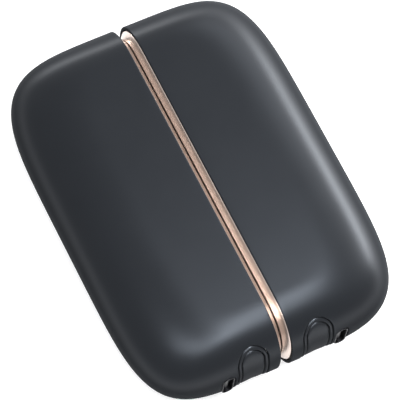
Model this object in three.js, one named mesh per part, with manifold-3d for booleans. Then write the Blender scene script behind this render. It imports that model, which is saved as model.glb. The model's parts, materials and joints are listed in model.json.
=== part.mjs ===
// Two-part rechargeable hand warmer. Each half is a D-shaped handful that heats on its own, and magnets
// hold the two flat faces together. Millimetres, +Z up. The origin is under the middle of the closed
// pair: X runs across the seam, Y along it, and the buttons and charging sockets are at the -Y end.
// One half is modelled with X as its distance from the seam, and the other half is its mirror image.

import * as THREE from 'three';
import { mergeVertices } from 'three/addons/utils/BufferGeometryUtils.js';
import Module from 'manifold-3d';

const wasm = await Module();
wasm.setup();

// Clearances
const fitGap = 0.3; // between pieces that sit against each other
const seamGap = 0.3; // between the two mating faces
const overrun = 3; // how far a cutter reaches past what it cuts
const sunk = 0.2; // how far a rib or boss reaches into the wall that it grows from
const roundSteps = 20; // facets round the cell
const smallSteps = 10; // facets round a boss or a post
const screwSteps = 8;
const weldReach = 1e-5; // points closer than this are one

// The closed pair
const sideRoom = 13.65; // across the seam, from the cell to the side
const cellRoom = 0.95; // above and below the cell, to the insulation
const sideRoll = 19.8; // width of the curve from the flat land down to the side
const endRoll = 13.5; // length of the curve from the flat land down to the end
const planPower = 5.05; // squareness of the outline seen from above
const rollPower = 2.2; // fullness of the rolled edge
const outlineSteps = 36;
const rollSteps = 14;

// Outer shell
const shellWall = 1.6;
const shellLip = 0.8; // thin edge that laps round the trim ring
const rimSetback = 1.65; // from the seam to the shell's edge

// Trim ring
const grooveDepth = 2.9; // from the shell's surface to the foot of the bevel
const trimLand = 0.9; // flat that meets the other half's ring
const trimLedge = 0.9; // shelf that the mating cover lies on, its width and its thickness
const trimSkirt = 0.9; // wall that goes into the shell
const trimReach = 1.75; // how far the skirt goes in past the shell's edge
const trimSteps = 32;

// Mating cover
const coverThickness = 1;
const coverRecess = 0.1; // below the trim's land
const pocketWall = 0.8;
const hookWidth = 4;
const hookThickness = 1;
const hookBarb = 0.7;
const hookNose = 0.8; // length of the barb's catch, and of its lead-in
const hookOffset = 5; // from each saddle of the frame, towards the near end

// Magnets
const magnetLength = 12; // along the seam
const magnetThickness = 2;

// Battery cell
const cellDiameter = 18.5;
const cellLength = 65.3;
const cellCrimp = 0.5; // depth of the rolled groove near the positive end
const cellCrimpSetback = 3.2;
const cellCrimpWidth = 1.8;
const cellPoleDiameter = 6;
const cellPoleHeight = 0.8;
const cellStandoff = 0.7; // from the frame's spine to the cell

// Frame that carries the cell and the board
const spineThickness = 1.3;
const ribThickness = 1.5;
const saddleSetback = 10.65; // from each end of the cell to the saddle's middle
const stopReach = 15; // how far the end stops rise from the spine
const stopRoom = 1.45; // by which the end stops are lower than the cell
const padThickness = 0.8; // foam at the cell's flat end
const spineWindowMargin = 9; // from each saddle to the window
const spineWindowHalfHeight = 3.6;
const railReach = 12; // how far the board's rails rise from the spine
const railWall = 1.1;
const railDepth = 1.2; // how much of the board's edge a rail takes

// Screws and their bosses
const bossDiameter = 4.8;
const bossBore = 2.2;
const bossBoreDepth = 7;
const bossWeb = 1.2;
const bossWebReach = 6; // how far the web runs along the boss
const bossRoom = 6.3; // from the shell's upper and lower face to the middle of a near boss
const bossBoardGap = 3.1; // from the board's rails to the near bosses
const bossStopGap = 2.1; // from the near bosses to the frame's near stop
const farBossStopGap = 0.5; // from the frame's far stop to the far boss
const farBossWallGap = 2.1; // from the far boss to the shell's wall
const screwHeadDiameter = 3.6;
const screwHeadHeight = 1;
const screwShankDiameter = 1.6;
const screwLength = 6;
const screwRecess = 0.6; // depth of the cross in the head
const screwCross = 0.5; // width of the cross
const screwCrossReach = 0.9; // from its middle to the end of each arm
const screwHole = 2.3;

// Heaters and their insulation
const heaterThickness = 0.6;
const insulationThickness = 0.5;
const heaterSeamSetback = 5.4; // from the seam to the heater's near edge
const heaterSideSetback = 8.6; // from the shell's side to the heater's far edge
const heaterNearSetback = 1.8; // from the cell's near end
const heaterFarSetback = 1; // from the cell's far end
const ribbonWidth = 4;
const ribbonThickness = 0.3;
const ribbonSetback = 17.4; // from the seam to the ribbon's middle

// Control board
const boardThickness = 1.2;
const boardWidth = 16.4;
const boardRoom = 5; // from the shell's upper and lower face to the board's edge
const chipWidth = 4;
const chipHeight = 0.9;
const lightWidth = 1.6;
const lightHeight = 0.8;
const lightDrop = 1.3; // from the board's rail to the light's middle
const inductorDiameter = 5.6;
const inductorHeight = 3;
const connectorWidth = 6;
const connectorHeight = 4;
const connectorDepth = 3.2;
const connectorRise = 3.4; // above the board's middle
const connectorWall = 0.6;

// Charging socket
const socketHeight = 8.94;
const socketWidth = 3.26;
const socketWall = 0.3;
const socketDepth = 8.6;
const socketBack = 2; // solid part behind the cavity
const socketRecess = 0.5; // from the shell's surface to the socket's mouth
const socketDrop = 1; // from the middle of the shell down to the middle of the socket
const tongueHeight = 6.6;
const tongueThickness = 0.7;
const tongueSetback = 1; // from the socket's mouth
const portWeb = 0.65; // shell left between the button window and the charging opening

// Button
const lugSpineGap = 0.5; // from the frame's spine to the button's lug
const bezelHalfWidth = 4.1;
const bezelRoom = 3.55; // from the shell's upper and lower face to the bezel
const bezelRim = 0.75;
const bezelDepth = 1.7;
const bezelSink = 0.1; // below the shell's surface
const capSink = 0.25; // below the shell's surface
const capWall = 1.5;
const capGroove = 0.3; // between the cap and its bezel
const capLug = 0.6; // how far the cap's lugs reach behind the bezel
const capLugGap = 0.5; // between the bezel's back and the lugs
const capLugThickness = 0.8;
const capArmThickness = 0.9;
const capArmHeight = 5;
const capPostDiameter = 4;
const buttonTravel = 0.5;
const buttonSteps = 6; // along each rounded end

// Key switch
const switchWidth = 6;
const switchDepth = 3.2;
const stemDiameter = 3.2;
const stemReach = 1.1; // how far the stem stands out of the switch
const stemSeat = 0.7; // how much of the stem is inside

// Wires
const wireDiameter = 1.2;
const wireSides = 6;
const longWireSteps = 16;
const shortWireSteps = 7;
const wireLift = 0.65; // of the long wire above the cell's lowest point
const wireBend = 2; // room that a wire takes to turn
const tabWidth = 7;
const tabThickness = 0.3;
const sensorBead = 1.8;
const sensorBeadLength = 4;
const sensorWire = 0.8;
const contactPitch = 2.8; // between the two wires in the connector

// Places that follow from the sizes
const heaterInset = shellWall + fitGap;
const insulationInset = heaterInset + heaterThickness + fitGap;
const supportInset = insulationInset + insulationThickness + fitGap;
const cellRadius = cellDiameter / 2;
const midHeight = cellRadius + cellRoom + insulationInset + insulationThickness;
const bodyThickness = 2 * midHeight;
const supportHalfHeight = midHeight - supportInset;
const stopHalfHeight = cellRadius - stopRoom;
const nearBossHeight = midHeight - bossRoom;
const boardHalfHeight = midHeight - boardRoom;
const bezelHalfHeight = midHeight - bezelRoom;
const wireRise = cellRadius - wireLift;
const hookHeight = wireRise - wireDiameter / 2 - fitGap - hookBarb - hookThickness;
const pocketClearance = screwHeadDiameter / 2 + fitGap + pocketWall + fitGap;
const magnetHeight = 2 * (nearBossHeight - pocketClearance);
const ribbonRise = boardHalfHeight - railDepth - railWall;
const chipRise = ribbonRise - ribbonThickness / 2 - fitGap - chipWidth / 2;
const inductorDrop = boardHalfHeight - railDepth - fitGap - inductorDiameter / 2;

// Lengths along the seam, added up from the near end to the cell and from the cell to the far end
const endToRails = socketRecess + socketDepth + fitGap + boardThickness + fitGap + railWall;
const railsToStop = bossBoardGap + bossDiameter + bossStopGap;
const nearStopToCell = ribThickness + fitGap + tabThickness + fitGap + cellPoleHeight;
const cellToFarStop = fitGap + tabThickness + fitGap + padThickness + fitGap;
const farStopToEnd = ribThickness + farBossStopGap + bossDiameter + farBossWallGap + shellWall;
const nearRoom = endToRails + railsToStop + nearStopToCell;
const farRoom = cellToFarStop + farStopToEnd;
const bodyLength = nearRoom + cellLength + farRoom;
const nearEnd = -bodyLength / 2;
const farEnd = bodyLength / 2;
const face = seamGap / 2;
const trimInset = shellLip + fitGap;
const trimEnd = rimSetback + trimReach;
const coverFront = face + coverRecess;
const coverBack = coverFront + coverThickness;
const coverInset = grooveDepth + trimLand + fitGap;
const magnetFront = coverBack + fitGap;
const magnetBack = magnetFront + magnetThickness;
const spineFront = magnetBack + fitGap;
const spineBack = spineFront + spineThickness;
const cellMiddle = spineBack + cellStandoff + cellRadius;
const bodyWidth = 2 * (cellMiddle + cellRadius + sideRoom);
const heaterFarEdge = bodyWidth / 2 - heaterSideSetback;
const cellNearEnd = nearEnd + nearRoom;
const cellFarEnd = farEnd - farRoom;
const heaterNearEnd = cellNearEnd + heaterNearSetback;
const heaterFarEnd = cellFarEnd - heaterFarSetback;
const socketMouth = nearEnd + socketRecess;
const socketLevel = midHeight - socketDrop;
const boardFront = socketMouth + socketDepth + fitGap;
const boardBack = boardFront + boardThickness;
const boardNear = spineBack + fitGap;
const boardFar = boardNear + boardWidth;
const capHalfWidth = bezelHalfWidth - bezelRim - capGroove;
const buttonSetback = spineBack + lugSpineGap + capLug + capHalfWidth;
const socketSetback =
  buttonSetback + bezelHalfWidth + fitGap + portWeb + fitGap + socketWidth / 2;
const switchFront = boardFront - fitGap - switchDepth;
const stemFront = switchFront - stemReach;
const bossStart = spineBack + fitGap;
const nearStop = cellNearEnd - nearStopToCell;
const farStop = cellFarEnd + cellToFarStop;
const nearBossPlace = nearStop - bossStopGap - bossDiameter / 2;
const longWireSetback = spineBack + fitGap + wireDiameter / 2;
const wireInnerRise = nearBossHeight - bossDiameter / 2 - wireDiameter;
const wireStopRise = (wireRise + wireInnerRise) / 2;
const farBossPlace = farStop + ribThickness + farBossStopGap + bossDiameter / 2;
const magnetPlace = farBossPlace - pocketClearance - magnetLength / 2;

// Turns a closed geometry into a solid that can be joined and cut.
function solidOf(geometry) {
  const shape = geometry.clone();
  shape.deleteAttribute('normal');
  shape.deleteAttribute('uv');
  const merged = mergeVertices(shape, weldReach);
  return new wasm.Manifold(
    new wasm.Mesh({
      numProp: 3,
      vertProperties: new Float32Array(merged.attributes.position.array),
      triVerts: new Uint32Array(merged.index.array),
    }),
  );
}

function geometryOf(solid) {
  const { vertProperties, triVerts } = solid.getMesh();
  const geometry = new THREE.BufferGeometry();
  geometry.setAttribute('position', new THREE.BufferAttribute(vertProperties, 3));
  geometry.setIndex(new THREE.BufferAttribute(triVerts, 1));
  geometry.computeVertexNormals();
  return geometry;
}

// A box between two corners.
function block(low, high) {
  const size = high.map((value, axis) => value - low[axis]);
  const box = new THREE.BoxGeometry(...size);
  box.translate(...low.map((value, axis) => value + size[axis] / 2));
  return solidOf(box);
}

// Straight prisms of a flat outline. The outline is drawn in Y and Z, X and Z, or X and Y.
function prismAlongX(outline, start, end) {
  const prism = new THREE.ExtrudeGeometry(outline, { depth: end - start, bevelEnabled: false });
  const turned = new THREE.Matrix4().makeBasis(
    new THREE.Vector3(0, 1, 0),
    new THREE.Vector3(0, 0, 1),
    new THREE.Vector3(1, 0, 0),
  );
  prism.applyMatrix4(turned);
  prism.translate(start, 0, 0);
  return solidOf(prism);
}

function prismAlongY(outline, start, end) {
  const prism = new THREE.ExtrudeGeometry(outline, { depth: end - start, bevelEnabled: false });
  prism.rotateX(Math.PI / 2);
  prism.translate(0, end, 0);
  return solidOf(prism);
}

function prismAlongZ(outline, start, end) {
  const prism = new THREE.ExtrudeGeometry(outline, { depth: end - start, bevelEnabled: false });
  prism.translate(0, 0, start);
  return solidOf(prism);
}

// Rods along X and along Y, between two places on their axis.
function rodAlongX(radius, start, end, y, z, steps = roundSteps) {
  const rod = new THREE.CylinderGeometry(radius, radius, end - start, steps);
  rod.rotateZ(-Math.PI / 2);
  rod.translate((start + end) / 2, y, z);
  return solidOf(rod);
}

function rodAlongY(radius, start, end, x, z, steps = roundSteps) {
  const rod = new THREE.CylinderGeometry(radius, radius, end - start, steps);
  rod.translate(x, (start + end) / 2, z);
  return solidOf(rod);
}

// A slot shape with round ends, standing upright.
function uprightSlot(halfWidth, halfHeight, x, z, steps = buttonSteps) {
  const outline = [];
  const straight = halfHeight - halfWidth;
  for (const end of [0, 1]) {
    for (let step = 0; step <= steps; step++) {
      const angle = Math.PI * (end + step / steps);
      const rise = end === 0 ? straight : -straight;
      outline.push(
        new THREE.Vector2(x + halfWidth * Math.cos(angle), z + rise + halfWidth * Math.sin(angle)),
      );
    }
  }
  return new THREE.Shape(outline);
}

const signedPower = (value, power) => Math.sign(value) * Math.abs(value) ** power;

// The closed pair as one pebble, drawn in by an inset: superellipse outlines stacked up a rolled edge.
function pebble(inset) {
  const halfWidth = bodyWidth / 2 - inset;
  const halfLength = bodyLength / 2 - inset;
  const halfHeight = midHeight - inset;
  const positions = [];
  const faces = [];
  for (let level = 0; level <= rollSteps; level++) {
    const lean = Math.PI * (level / rollSteps - 0.5);
    const drawnIn = 1 - signedPower(Math.max(Math.cos(lean), 0), 2 / rollPower);
    const height = halfHeight * signedPower(Math.sin(lean), 2 / rollPower);
    const across = halfWidth - (sideRoll - inset) * drawnIn;
    const along = halfLength - (endRoll - inset) * drawnIn;
    for (let step = 0; step < outlineSteps; step++) {
      const turn = (2 * Math.PI * step) / outlineSteps;
      positions.push(
        across * signedPower(Math.cos(turn), 2 / planPower),
        along * signedPower(Math.sin(turn), 2 / planPower),
        midHeight + height,
      );
    }
  }
  const at = (level, step) => level * outlineSteps + (step % outlineSteps);
  for (let level = 0; level < rollSteps; level++) {
    for (let step = 0; step < outlineSteps; step++) {
      faces.push(at(level, step), at(level, step + 1), at(level + 1, step + 1));
      faces.push(at(level, step), at(level + 1, step + 1), at(level + 1, step));
    }
  }
  for (let step = 1; step < outlineSteps - 1; step++) {
    faces.push(at(0, 0), at(0, step + 1), at(0, step));
    faces.push(at(rollSteps, 0), at(rollSteps, step), at(rollSteps, step + 1));
  }
  const geometry = new THREE.BufferGeometry();
  geometry.setAttribute('position', new THREE.Float32BufferAttribute(positions, 3));
  geometry.setIndex(faces);
  return solidOf(geometry);
}

// What of a pebble lies between two distances from the seam.
function pebbleBetween(inset, start, end) {
  const slice = block(
    [start, nearEnd - overrun, -overrun],
    [end, farEnd + overrun, bodyThickness + overrun],
  );
  return pebble(inset).intersect(slice);
}

// Points of the mating face's outline, drawn in by an inset, as Y and Z.
function faceOutline(inset) {
  const points = [];
  for (let step = 0; step < trimSteps; step++) {
    const turn = (2 * Math.PI * (step + 0.5)) / trimSteps;
    const rise = (midHeight - inset) * signedPower(Math.sin(turn), 2 / rollPower);
    const drawnIn = (endRoll - inset) * (1 - Math.abs(Math.cos(turn)) ** (2 / rollPower));
    const along = Math.sign(Math.cos(turn)) * (bodyLength / 2 - inset - drawnIn);
    points.push(new THREE.Vector2(along, midHeight + rise));
  }
  return points;
}

// A ring that follows the mating face's outline. Each point of its section is a distance from the seam
// and an inset.
function ringRoundFace(section) {
  const loops = section.map(([, inset]) => faceOutline(inset));
  const positions = [];
  const faces = [];
  section.forEach(([distance], corner) => {
    for (const point of loops[corner]) positions.push(distance, point.x, point.y);
  });
  const at = (corner, step) => (corner % section.length) * trimSteps + (step % trimSteps);
  for (let corner = 0; corner < section.length; corner++) {
    for (let step = 0; step < trimSteps; step++) {
      faces.push(at(corner, step), at(corner + 1, step), at(corner + 1, step + 1));
      faces.push(at(corner, step), at(corner + 1, step + 1), at(corner, step + 1));
    }
  }
  const geometry = new THREE.BufferGeometry();
  geometry.setAttribute('position', new THREE.Float32BufferAttribute(positions, 3));
  geometry.setIndex(faces);
  return solidOf(geometry);
}

const materials = {
  shell: { color: 0x2c2d30, roughness: 0.42, metalness: 0 },
  trim: { color: 0xd8b098, roughness: 0.3, metalness: 1 },
  button: { color: 0x26272a, roughness: 0.45, metalness: 0 },
  cover: { color: 0x1c1d1f, roughness: 0.6, metalness: 0 },
  frame: { color: 0xd9d6cc, roughness: 0.6, metalness: 0 },
  steel: { color: 0xb9bcc0, roughness: 0.3, metalness: 1 },
  darkSteel: { color: 0x232427, roughness: 0.35, metalness: 1 },
  nickel: { color: 0xc9c6bd, roughness: 0.35, metalness: 1 },
  wrap: { color: 0x2f8f86, roughness: 0.4, metalness: 0 },
  foam: { color: 0x3a3b3d, roughness: 0.95, metalness: 0 },
  heater: { color: 0xb5692a, roughness: 0.45, metalness: 0 },
  board: { color: 0x1d5b38, roughness: 0.5, metalness: 0 },
  ferrite: { color: 0x3b3c40, roughness: 0.7, metalness: 0 },
  insulator: { color: 0x141416, roughness: 0.5, metalness: 0 },
  socketWhite: { color: 0xe6e2d6, roughness: 0.5, metalness: 0 },
  redWire: { color: 0xb3261e, roughness: 0.45, metalness: 0 },
  blackWire: { color: 0x18181a, roughness: 0.45, metalness: 0 },
};

// The two openings in the near end.
const windowOutline = (grow) =>
  uprightSlot(bezelHalfWidth + grow, bezelHalfHeight + grow, buttonSetback, midHeight);
const socketOutline = (grow) =>
  uprightSlot(socketWidth / 2 + grow, socketHeight / 2 + grow, socketSetback, socketLevel);

// Screw places along the seam and up, shared by the bosses, the frame and the screws.
const screwPlaces = [
  [nearBossPlace, midHeight + nearBossHeight],
  [nearBossPlace, midHeight - nearBossHeight],
  [farBossPlace, midHeight],
];

const cellCradle = (grow) =>
  rodAlongY(
    cellRadius + grow,
    cellNearEnd - overrun,
    cellFarEnd + overrun,
    cellMiddle,
    midHeight,
  );

const saddlePlaces = [cellNearEnd + saddleSetback, cellFarEnd - saddleSetback];

// Outer shell: a deep bucket that opens towards the seam, with a thin lip round the trim ring, ribs
// that steady the cell, and bosses for the frame's screws.
function outerShell() {
  const halfWidth = bodyWidth / 2;
  let shell = pebbleBetween(0, rimSetback, halfWidth + overrun);
  shell = shell.subtract(pebbleBetween(shellLip, 0, trimEnd + fitGap));
  const cavity = pebble(shellWall);
  shell = shell.subtract(cavity);

  let inside = null;
  const grow = (piece) => {
    inside = inside ? inside.add(piece) : piece;
  };
  const clearOfHeaters = pebble(supportInset).add(
    block(
      [heaterFarEdge + fitGap, nearEnd, 0],
      [halfWidth, farEnd, bodyThickness],
    ),
  );
  for (const place of saddlePlaces) {
    const rib = block(
      [cellMiddle, place - ribThickness / 2, 0],
      [halfWidth, place + ribThickness / 2, bodyThickness],
    );
    grow(rib.intersect(clearOfHeaters).subtract(cellCradle(fitGap)));
  }
  screwPlaces.forEach(([y, z]) => {
    grow(rodAlongX(bossDiameter / 2, bossStart, halfWidth, y, z, smallSteps));
    const side = Math.sign(z - midHeight);
    const web = side
      ? block(
          [bossStart, y - bossWeb / 2, side > 0 ? z : 0],
          [bossStart + bossWebReach, y + bossWeb / 2, side > 0 ? bodyThickness : z],
        )
      : block(
          [bossStart, y, z - bossWeb / 2],
          [bossStart + bossWebReach, farEnd, z + bossWeb / 2],
        );
    grow(web);
  });
  shell = shell.add(inside.intersect(pebble(shellWall - sunk)));
  for (const [y, z] of screwPlaces) {
    const bore = rodAlongX(bossBore / 2, 0, bossStart + bossBoreDepth, y, z, smallSteps);
    shell = shell.subtract(bore);
  }
  shell = shell.subtract(prismAlongY(windowOutline(fitGap), nearEnd - overrun, boardFront));
  return shell.subtract(prismAlongY(socketOutline(fitGap), nearEnd - overrun, boardFront));
}

// Trim ring: a bevel down to the seam, a shelf for the cover and a skirt into the shell.
function trimRing() {
  const landEnd = grooveDepth + trimLand;
  const ledgeFront = coverBack + fitGap;
  const ledgeBack = ledgeFront + trimLedge;
  return ringRoundFace([
    [rimSetback, trimInset],
    [face, grooveDepth],
    [face, landEnd],
    [ledgeFront, landEnd],
    [ledgeFront, landEnd + trimLedge],
    [ledgeBack, landEnd + trimLedge],
    [ledgeBack, trimInset + trimSkirt],
    [trimEnd, trimInset + trimSkirt],
    [trimEnd, trimInset],
  ]);
}

const magnetPlaces = [-magnetPlace, magnetPlace];
const hookPlaces = saddlePlaces.map((place) => place - hookOffset);

function magnetBlock(place, grow, start, end) {
  return block(
    [start, place - magnetLength / 2 - grow, midHeight - magnetHeight / 2 - grow],
    [end, place + magnetLength / 2 + grow, midHeight + magnetHeight / 2 + grow],
  );
}

// Mating cover: a flat plate with a pocket for each magnet and hooks that catch behind the frame.
function matingCover() {
  let cover = prismAlongX(new THREE.Shape(faceOutline(coverInset)), coverFront, coverBack);
  for (const place of magnetPlaces) {
    const wall = magnetBlock(place, fitGap + pocketWall, coverBack - sunk, magnetBack);
    cover = cover.add(wall.subtract(magnetBlock(place, fitGap, coverBack, magnetBack + overrun)));
  }
  const catchStart = spineBack + fitGap;
  for (const side of [-1, 1]) {
    const rise = (height) => midHeight + side * height;
    const outer = hookHeight + hookThickness;
    const outline = new THREE.Shape([
      new THREE.Vector2(coverBack - sunk, rise(hookHeight)),
      new THREE.Vector2(coverBack - sunk, rise(outer)),
      new THREE.Vector2(catchStart, rise(outer)),
      new THREE.Vector2(catchStart, rise(outer + hookBarb)),
      new THREE.Vector2(catchStart + hookNose, rise(outer)),
      new THREE.Vector2(catchStart + hookNose, rise(hookHeight)),
    ]);
    for (const place of hookPlaces) {
      cover = cover.add(prismAlongY(outline, place - hookWidth / 2, place + hookWidth / 2));
    }
  }
  return cover;
}

function magnet(place) {
  return magnetBlock(place, 0, magnetFront, magnetBack);
}

// Frame: a spine across the mating side, two saddles and two stops for the cell, and rails for the
// board. It goes in through the shell's open side and is screwed to the bosses.
function cellFrame() {
  const spineInset = shellWall + fitGap;
  let frame = prismAlongX(new THREE.Shape(faceOutline(spineInset)), spineFront, spineBack);
  const ribStart = spineBack - sunk;
  for (const place of saddlePlaces) {
    frame = frame.add(
      block(
        [ribStart, place - ribThickness / 2, midHeight - supportHalfHeight],
        [cellMiddle, place + ribThickness / 2, midHeight + supportHalfHeight],
      ),
    );
  }
  frame = frame.subtract(cellCradle(fitGap));
  for (const place of [nearStop, farStop]) {
    frame = frame.add(
      block(
        [ribStart, place, midHeight - stopHalfHeight],
        [spineBack + stopReach, place + ribThickness, midHeight + stopHalfHeight],
      ),
    );
  }
  const railOuter = boardHalfHeight + fitGap + railWall;
  for (const side of [-1, 1]) {
    const heights = [side * (boardHalfHeight - railDepth), side * railOuter].sort((a, b) => a - b);
    const slots = [0, side * (boardHalfHeight + fitGap)].sort((a, b) => a - b);
    const rail = block(
      [ribStart, boardFront - fitGap - railWall, midHeight + heights[0]],
      [spineBack + railReach, boardBack + fitGap + railWall, midHeight + heights[1]],
    );
    const slot = block(
      [spineBack, boardFront - fitGap, midHeight + slots[0]],
      [spineBack + railReach + overrun, boardBack + fitGap, midHeight + slots[1]],
    );
    frame = frame.add(rail.subtract(slot).intersect(pebble(spineInset)));
    for (const place of hookPlaces) {
      const from = midHeight + side * (hookHeight - hookBarb - fitGap);
      const to = midHeight + side * (hookHeight + hookThickness + fitGap);
      frame = frame.subtract(
        block(
          [spineFront - overrun, place - hookWidth / 2 - fitGap, Math.min(from, to)],
          [spineBack + hookNose, place + hookWidth / 2 + fitGap, Math.max(from, to)],
        ),
      );
    }
  }
  const windowMiddle = (saddlePlaces[0] + saddlePlaces[1]) / 2;
  const windowReach = saddlePlaces[1] - windowMiddle - spineWindowMargin;
  const upright = uprightSlot(spineWindowHalfHeight, windowReach, 0, 0, buttonSteps / 2);
  const windowShape = new THREE.Shape(
    upright.getPoints().map(({ x, y }) => new THREE.Vector2(windowMiddle - y, midHeight + x)),
  );
  frame = frame.subtract(prismAlongX(windowShape, spineFront - overrun, spineBack + overrun));
  for (const [y, z] of screwPlaces) {
    frame = frame.subtract(
      rodAlongX(screwHole / 2, spineFront - overrun, spineBack + overrun, y, z, smallSteps),
    );
  }
  const wireRoom = wireDiameter / 2 + fitGap;
  const notches = [
    [
      [spineBack, cellNearEnd, 0],
      [longWireSetback + wireRoom, cellFarEnd, midHeight - wireRise + wireRoom],
    ],
    [
      [spineBack, nearStop - overrun, 0],
      [longWireSetback + wireDiameter + wireRoom, cellNearEnd, midHeight - wireInnerRise],
    ],
    [
      [cellMiddle - wireRoom, nearStop - overrun, midHeight - wireRoom],
      [cellMiddle + cellRadius, cellNearEnd, midHeight + wireRoom],
    ],
  ];
  for (const [low, high] of notches) frame = frame.subtract(block(low, high));
  return frame;
}

// A pan-head screw with a cross recess.
function frameScrew([y, z]) {
  const head = rodAlongX(
    screwHeadDiameter / 2,
    spineFront - fitGap - screwHeadHeight,
    spineFront - fitGap,
    y,
    z,
    screwSteps,
  );
  const headFront = spineFront - fitGap - screwHeadHeight;
  const shank = rodAlongX(
    screwShankDiameter / 2,
    spineFront - fitGap - sunk,
    spineFront - fitGap + screwLength,
    y,
    z,
    screwSteps,
  );
  const arm = screwCrossReach;
  const deep = headFront + screwRecess;
  const level = block(
    [headFront - overrun, y - arm, z - screwCross / 2],
    [deep, y + arm, z + screwCross / 2],
  );
  const upright = block(
    [headFront - overrun, y - screwCross / 2, z - arm],
    [deep, y + screwCross / 2, z + arm],
  );
  return head.add(shank).subtract(level.add(upright));
}

// The cell: a can with a rolled groove near its positive end, which faces the board.
function batteryCell() {
  const profile = [
    [0, -cellPoleHeight],
    [cellPoleDiameter / 2, -cellPoleHeight],
    [cellPoleDiameter / 2, 0],
    [cellRadius, 0],
    [cellRadius, cellCrimpSetback],
    [cellRadius - cellCrimp, cellCrimpSetback + cellCrimpWidth / 2],
    [cellRadius, cellCrimpSetback + cellCrimpWidth],
    [cellRadius, cellLength],
    [0, cellLength],
  ].map(([radius, along]) => new THREE.Vector2(radius, along));
  const can = new THREE.LatheGeometry(profile, roundSteps);
  can.translate(cellMiddle, cellNearEnd, midHeight);
  return solidOf(can);
}

function cellEndPad() {
  const start = cellFarEnd + tabThickness + 2 * fitGap;
  return rodAlongY(
    stopHalfHeight,
    start,
    start + padThickness,
    cellMiddle,
    midHeight,
    smallSteps,
  );
}

// A sheet that follows the inside of the shell, on the upper or the lower side.
function sheetUnderShell(inset, thickness, upper, low, high) {
  const sheet = pebble(inset).subtract(pebble(inset + thickness));
  const reach = midHeight - endRoll / 2;
  const bottom = upper ? bodyThickness - reach : -overrun;
  const top = upper ? bodyThickness + overrun : reach;
  return sheet.intersect(block([low[0], low[1], bottom], [high[0], high[1], top]));
}

function heater(upper) {
  return sheetUnderShell(
    heaterInset,
    heaterThickness,
    upper,
    [heaterSeamSetback, heaterNearEnd],
    [heaterFarEdge, heaterFarEnd],
  );
}

function insulation(upper) {
  return sheetUnderShell(
    insulationInset,
    insulationThickness,
    upper,
    [heaterSeamSetback, heaterNearEnd],
    [heaterFarEdge, heaterFarEnd],
  );
}

// A flat ribbon from a heater's near edge, over the screw boss, to the back of the board.
function heaterRibbon(upper) {
  const start = new THREE.Vector2(heaterNearEnd - fitGap, bodyThickness - heaterInset);
  const end = new THREE.Vector2(boardBack + fitGap, midHeight + ribbonRise);
  const bendY = boardBack + fitGap + railWall + fitGap + bossWeb;
  const centre = new THREE.CatmullRomCurve3([
    new THREE.Vector3(start.x, start.y - ribbonThickness, 0),
    new THREE.Vector3((start.x + bendY) / 2, start.y - ribbonThickness, 0),
    new THREE.Vector3(bendY, (start.y + end.y + railWall) / 2, 0),
    new THREE.Vector3((bendY + end.x) / 2, end.y, 0),
    new THREE.Vector3(end.x, end.y, 0),
  ]);
  const steps = smallSteps;
  const outer = [];
  const inner = [];
  for (let step = 0; step <= steps; step++) {
    const point = centre.getPoint(step / steps);
    const along = centre.getTangent(step / steps);
    const across = new THREE.Vector2(-along.y, along.x).multiplyScalar(ribbonThickness / 2);
    outer.push(new THREE.Vector2(point.x + across.x, point.y + across.y));
    inner.push(new THREE.Vector2(point.x - across.x, point.y - across.y));
  }
  const flip = (point) => (upper ? point : new THREE.Vector2(point.x, bodyThickness - point.y));
  const outline = new THREE.Shape([...outer, ...inner.reverse()].map(flip));
  return prismAlongX(outline, ribbonSetback - ribbonWidth / 2, ribbonSetback + ribbonWidth / 2);
}

// Control board: stands across the end, with its main chip behind and a status light in front.
function controlBoard() {
  let board = block(
    [boardNear, boardFront, midHeight - boardHalfHeight],
    [boardFar, boardBack, midHeight + boardHalfHeight],
  );
  const chipX = socketSetback;
  const chipZ = midHeight + chipRise;
  board = board.add(
    block(
      [chipX - chipWidth / 2, boardBack - sunk, chipZ - chipWidth / 2],
      [chipX + chipWidth / 2, boardBack + chipHeight, chipZ + chipWidth / 2],
    ),
  );
  const lightZ = midHeight + boardHalfHeight - railDepth - lightDrop;
  return board.add(
    block(
      [buttonSetback - lightWidth / 2, boardFront - lightHeight, lightZ - lightHeight / 2],
      [buttonSetback + lightWidth / 2, boardFront + sunk, lightZ + lightHeight / 2],
    ),
  );
}

function inductor() {
  return rodAlongY(
    inductorDiameter / 2,
    boardBack + fitGap,
    boardBack + fitGap + inductorHeight,
    buttonSetback,
    midHeight - inductorDrop,
    smallSteps,
  );
}

// A socket for the cell's plug, open at its back.
function batteryConnector() {
  const low = [buttonSetback - connectorWidth / 2, boardBack + fitGap];
  const base = midHeight + connectorRise - connectorHeight / 2;
  const body = block(
    [low[0], low[1], base],
    [low[0] + connectorWidth, low[1] + connectorDepth, base + connectorHeight],
  );
  const mouth = block(
    [low[0] + connectorWall, low[1] + connectorWall, base + connectorWall],
    [
      low[0] + connectorWidth - connectorWall,
      low[1] + connectorDepth + overrun,
      base + connectorHeight - connectorWall,
    ],
  );
  return body.subtract(mouth);
}

// Charging socket: a folded steel shell, and an insulator that carries the contact tongue.
function socketShell() {
  const shell = prismAlongY(socketOutline(0), socketMouth, socketMouth + socketDepth);
  const hollow = prismAlongY(
    socketOutline(-socketWall),
    socketMouth - overrun,
    socketMouth + socketDepth + overrun,
  );
  return shell.subtract(hollow);
}

function socketInsulator() {
  const back = socketMouth + socketDepth;
  const blockOutline = socketOutline(-socketWall - fitGap);
  const base = prismAlongY(blockOutline, back - socketBack, back);
  const tongue = block(
    [
      socketSetback - tongueThickness / 2,
      socketMouth + tongueSetback,
      socketLevel - tongueHeight / 2,
    ],
    [
      socketSetback + tongueThickness / 2,
      back - socketBack + sunk,
      socketLevel + tongueHeight / 2,
    ],
  );
  return base.add(tongue);
}

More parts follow.
